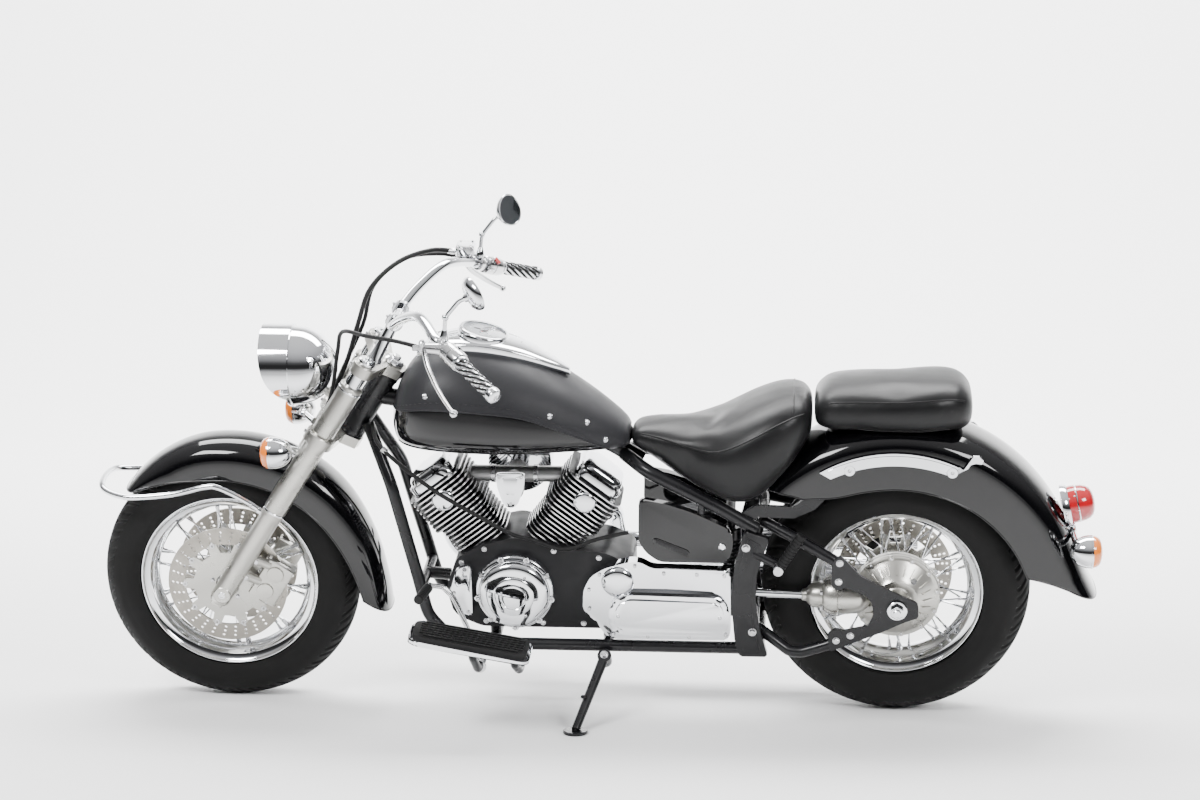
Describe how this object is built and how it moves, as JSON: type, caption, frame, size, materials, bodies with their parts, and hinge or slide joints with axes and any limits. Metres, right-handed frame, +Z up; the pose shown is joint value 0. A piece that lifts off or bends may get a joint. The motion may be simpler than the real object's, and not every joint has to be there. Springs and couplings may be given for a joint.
{
  "type": "cruiser motorcycle",
  "caption": "Shaft-drive V-twin cruiser leaning on its side stand, with valanced fenders, wire wheels, footboards and two-piece seat.",
  "frame": {"origin": "on the floor under the middle of the machine's box", "axes": "+X forward, +Y to the rider's left, +Z up; the machine leans to +Y on its side stand"},
  "size_m": [2.4499, 0.9863, 1.2549],
  "materials": {
    "gloss_black_paint": "gloss",
    "black_frame_paint": "semi gloss",
    "black_case_paint": "satin",
    "cylinder_black": "satin black with bright fin edges",
    "chrome": "mirror polished",
    "polished_aluminium": "polished",
    "satin_aluminium": "satin lacquered",
    "brake_disc_steel": "turned",
    "tyre_rubber": "matte",
    "black_rubber": "matte",
    "seat_leather": "semi gloss grained",
    "bib_leather": "satin grained",
    "red_lens": "gloss",
    "amber_lens": "gloss",
    "black_plastic": "matte",
    "clear_lens": "clear"
  },
  "bodies": {
    "chassis": {"frame": "black_frame_paint", "swingarm": "black_frame_paint", "rear_shock": "black_frame_paint", "crankcase": "black_case_paint", "front_cylinder": "cylinder_black", "rear_cylinder": "cylinder_black", "carburettors": "satin_aluminium", "engine_covers": "chrome", "shaft_drive_cover": "chrome", "air_cleaner": "chrome", "exhausts": "chrome", "final_drive": "satin_aluminium", "rear_axle": "chrome", "rear_caliper": "satin_aluminium", "fuel_tank": "gloss_black_paint", "tank_bib": "bib_leather", "tank_console": "chrome", "rider_seat": "seat_leather", "passenger_seat": "seat_leather", "rear_fender": "gloss_black_paint", "fender_rails": "chrome", "side_covers": "gloss_black_paint", "rear_lights": "red_lens", "footboards": "black_rubber", "foot_controls": "polished_aluminium", "passenger_pegs": "black_rubber", "clutch_cable": "black_rubber"},
    "steering": {"triple_clamps": "satin_aluminium", "fork_legs": "satin_aluminium", "handlebar": "chrome", "grips": "black_rubber", "hand_controls": "polished_aluminium", "mirrors": "chrome", "headlight": "chrome", "front_turn_signals": "amber_lens", "front_fender": "gloss_black_paint", "fender_guard": "chrome", "front_calipers": "satin_aluminium", "front_axle": "polished_aluminium", "control_cables": "black_rubber"},
    "front_wheel": {"front_tyre": "tyre_rubber", "front_rim": "chrome", "front_spokes": "chrome", "front_hub": "chrome", "front_discs": "brake_disc_steel"},
    "rear_wheel": {"rear_tyre": "tyre_rubber", "rear_rim": "chrome", "rear_spokes": "chrome", "rear_hub": "polished_aluminium", "rear_disc": "brake_disc_steel"},
    "side_stand": {"side_stand": "black_frame_paint"}
  },
  "joints": [
    {"name": "steering_turn", "type": "hinge", "parent": "chassis", "child": "steering", "pos_m": [0.58743, -0.03258, 0.70168], "axis": [-0.5373, 0.1392, 0.8318], "range_deg": [-34, 34]},
    {"name": "front_wheel_spin", "type": "hinge", "parent": "steering", "child": "front_wheel", "pos_m": [0.905, -0.09704, 0.3165], "axis": [0, 0.9863, -0.165], "continuous": true},
    {"name": "rear_wheel_spin", "type": "hinge", "parent": "chassis", "child": "rear_wheel", "pos_m": [-0.74, -0.09592, 0.32319], "axis": [0, 0.9863, -0.165], "continuous": true},
    {"name": "stand_swing", "type": "hinge", "parent": "chassis", "child": "side_stand", "pos_m": [-0.035, 0.027, 0.15491], "axis": [0, 0.8039, 0.5948], "range_deg": [0, 100]}
  ]
}
